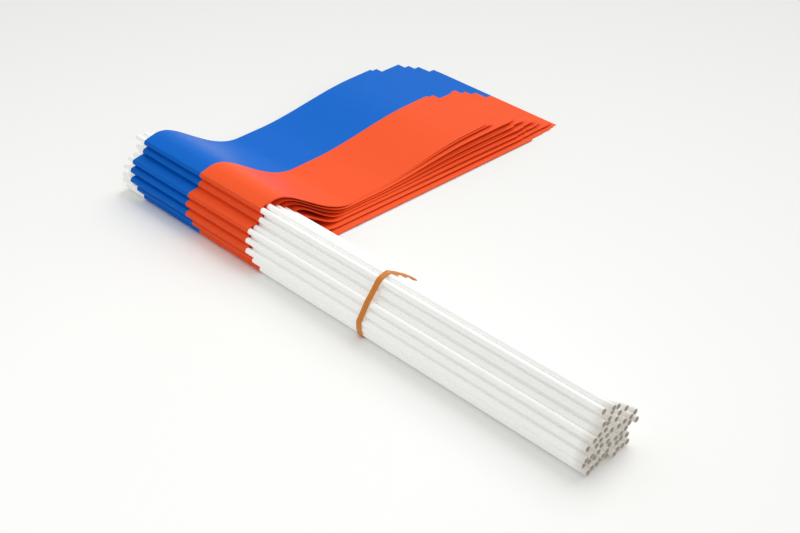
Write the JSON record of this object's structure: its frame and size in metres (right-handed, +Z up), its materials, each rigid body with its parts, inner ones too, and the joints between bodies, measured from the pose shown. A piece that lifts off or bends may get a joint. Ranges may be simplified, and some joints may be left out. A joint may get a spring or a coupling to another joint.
{
  "type": "bundle of hand flags",
  "caption": "Rubber-banded bundle of two-striped blue and red paper hand flags on white plastic sticks, lying on its side with the sheets stacked flat.",
  "frame": {"origin": "on the resting surface, in the middle of the lowest sheet's underside", "axes": "+Y along the sticks towards their tips, +X along the flags' fly away from the sticks, +Z up"},
  "size_m": [0.2773, 0.4046, 0.0367],
  "materials": {
    "white_plastic": "translucent white extruded tube, soft satin",
    "printed_paper": "coated paper printed on both faces, royal blue half above an orange-red half, satin",
    "amber_rubber": "translucent natural rubber, amber"
  },
  "bodies": {
    "flag_01": {"stick_01": "white_plastic", "paper_01": "printed_paper"},
    "flag_02": {"stick_02": "white_plastic", "paper_02": "printed_paper"},
    "flag_03": {"stick_03": "white_plastic", "paper_03": "printed_paper"},
    "flag_04": {"stick_04": "white_plastic", "paper_04": "printed_paper"},
    "flag_05": {"stick_05": "white_plastic", "paper_05": "printed_paper"},
    "flag_06": {"stick_06": "white_plastic", "paper_06": "printed_paper"},
    "flag_07": {"stick_07": "white_plastic", "paper_07": "printed_paper"},
    "flag_08": {"stick_08": "white_plastic", "paper_08": "printed_paper"},
    "flag_09": {"stick_09": "white_plastic", "paper_09": "printed_paper"},
    "flag_10": {"stick_10": "white_plastic", "paper_10": "printed_paper"},
    "flag_11": {"stick_11": "white_plastic", "paper_11": "printed_paper"},
    "flag_12": {"stick_12": "white_plastic", "paper_12": "printed_paper"},
    "flag_13": {"stick_13": "white_plastic", "paper_13": "printed_paper"},
    "flag_14": {"stick_14": "white_plastic", "paper_14": "printed_paper"},
    "flag_15": {"stick_15": "white_plastic", "paper_15": "printed_paper"},
    "flag_16": {"stick_16": "white_plastic", "paper_16": "printed_paper"},
    "flag_17": {"stick_17": "white_plastic", "paper_17": "printed_paper"},
    "flag_18": {"stick_18": "white_plastic", "paper_18": "printed_paper"},
    "flag_19": {"stick_19": "white_plastic", "paper_19": "printed_paper"},
    "flag_20": {"stick_20": "white_plastic", "paper_20": "printed_paper"},
    "flag_21": {"stick_21": "white_plastic", "paper_21": "printed_paper"},
    "flag_22": {"stick_22": "white_plastic", "paper_22": "printed_paper"},
    "flag_23": {"stick_23": "white_plastic", "paper_23": "printed_paper"},
    "flag_24": {"stick_24": "white_plastic", "paper_24": "printed_paper"},
    "flag_25": {"stick_25": "white_plastic", "paper_25": "printed_paper"},
    "flag_26": {"stick_26": "white_plastic", "paper_26": "printed_paper"},
    "flag_27": {"stick_27": "white_plastic", "paper_27": "printed_paper"},
    "flag_28": {"stick_28": "white_plastic", "paper_28": "printed_paper"},
    "band": {"rubber_band": "amber_rubber"}
  },
  "joints": [
    {"name": "flag_02_slide", "type": "slide", "parent": "flag_01", "child": "flag_02", "axis": [0, 1, 0], "range_m": [-0.088, 0.163]},
    {"name": "flag_03_slide", "type": "slide", "parent": "flag_01", "child": "flag_03", "axis": [0, 1, 0], "range_m": [-0.087, 0.163]},
    {"name": "flag_04_slide", "type": "slide", "parent": "flag_01", "child": "flag_04", "axis": [0, 1, 0], "range_m": [-0.089, 0.164]},
    {"name": "flag_05_slide", "type": "slide", "parent": "flag_01", "child": "flag_05", "axis": [0, 1, 0], "range_m": [-0.087, 0.162]},
    {"name": "flag_06_slide", "type": "slide", "parent": "flag_01", "child": "flag_06", "axis": [0, 1, 0], "range_m": [-0.087, 0.162]},
    {"name": "flag_07_slide", "type": "slide", "parent": "flag_01", "child": "flag_07", "axis": [0, 1, 0], "range_m": [-0.088, 0.163]},
    {"name": "flag_08_slide", "type": "slide", "parent": "flag_01", "child": "flag_08", "axis": [0, 1, 0], "range_m": [-0.086, 0.163]},
    {"name": "flag_09_slide", "type": "slide", "parent": "flag_01", "child": "flag_09", "axis": [0, 1, 0], "range_m": [-0.086, 0.164]},
    {"name": "flag_10_slide", "type": "slide", "parent": "flag_01", "child": "flag_10", "axis": [0, 1, 0], "range_m": [-0.094, 0.163]},
    {"name": "flag_11_slide", "type": "slide", "parent": "flag_01", "child": "flag_11", "axis": [0, 1, 0], "range_m": [-0.094, 0.162]},
    {"name": "flag_12_slide", "type": "slide", "parent": "flag_01", "child": "flag_12", "axis": [0, 1, 0], "range_m": [-0.093, 0.164]},
    {"name": "flag_13_slide", "type": "slide", "parent": "flag_01", "child": "flag_13", "axis": [0, 1, 0], "range_m": [-0.092, 0.161]},
    {"name": "flag_14_slide", "type": "slide", "parent": "flag_01", "child": "flag_14", "axis": [0, 1, 0], "range_m": [-0.1, 0.163]},
    {"name": "flag_15_slide", "type": "slide", "parent": "flag_01", "child": "flag_15", "axis": [0, 1, 0], "range_m": [-0.099, 0.163]},
    {"name": "flag_16_slide", "type": "slide", "parent": "flag_01", "child": "flag_16", "axis": [0, 1, 0], "range_m": [-0.097, 0.163]},
    {"name": "flag_17_slide", "type": "slide", "parent": "flag_01", "child": "flag_17", "axis": [0, 1, 0], "range_m": [-0.098, 0.163]},
    {"name": "flag_18_slide", "type": "slide", "parent": "flag_01", "child": "flag_18", "axis": [0, 1, 0], "range_m": [-0.1, 0.162]},
    {"name": "flag_19_slide", "type": "slide", "parent": "flag_01", "child": "flag_19", "axis": [0, 1, 0], "range_m": [-0.1, 0.163]},
    {"name": "flag_20_slide", "type": "slide", "parent": "flag_01", "child": "flag_20", "axis": [0, 1, 0], "range_m": [-0.101, 0.163]},
    {"name": "flag_21_slide", "type": "slide", "parent": "flag_01", "child": "flag_21", "axis": [0, 1, 0], "range_m": [-0.101, 0.161]},
    {"name": "flag_22_slide", "type": "slide", "parent": "flag_01", "child": "flag_22", "axis": [0, 1, 0], "range_m": [-0.101, 0.161]},
    {"name": "flag_23_slide", "type": "slide", "parent": "flag_01", "child": "flag_23", "axis": [0, 1, 0], "range_m": [-0.102, 0.162]},
    {"name": "flag_24_slide", "type": "slide", "parent": "flag_01", "child": "flag_24", "axis": [0, 1, 0], "range_m": [-0.102, 0.163]},
    {"name": "flag_25_slide", "type": "slide", "parent": "flag_01", "child": "flag_25", "axis": [0, 1, 0], "range_m": [-0.102, 0.16]},
    {"name": "flag_26_slide", "type": "slide", "parent": "flag_01", "child": "flag_26", "axis": [0, 1, 0], "range_m": [-0.1, 0.162]},
    {"name": "flag_27_slide", "type": "slide", "parent": "flag_01", "child": "flag_27", "axis": [0, 1, 0], "range_m": [-0.101, 0.162]},
    {"name": "flag_28_slide", "type": "slide", "parent": "flag_01", "child": "flag_28", "axis": [0, 1, 0], "range_m": [-0.102, 0.16]},
    {"name": "band_slide", "type": "slide", "parent": "flag_01", "child": "band", "axis": [0, 1, 0], "range_m": [-0.16, 0.086]}
  ]
}
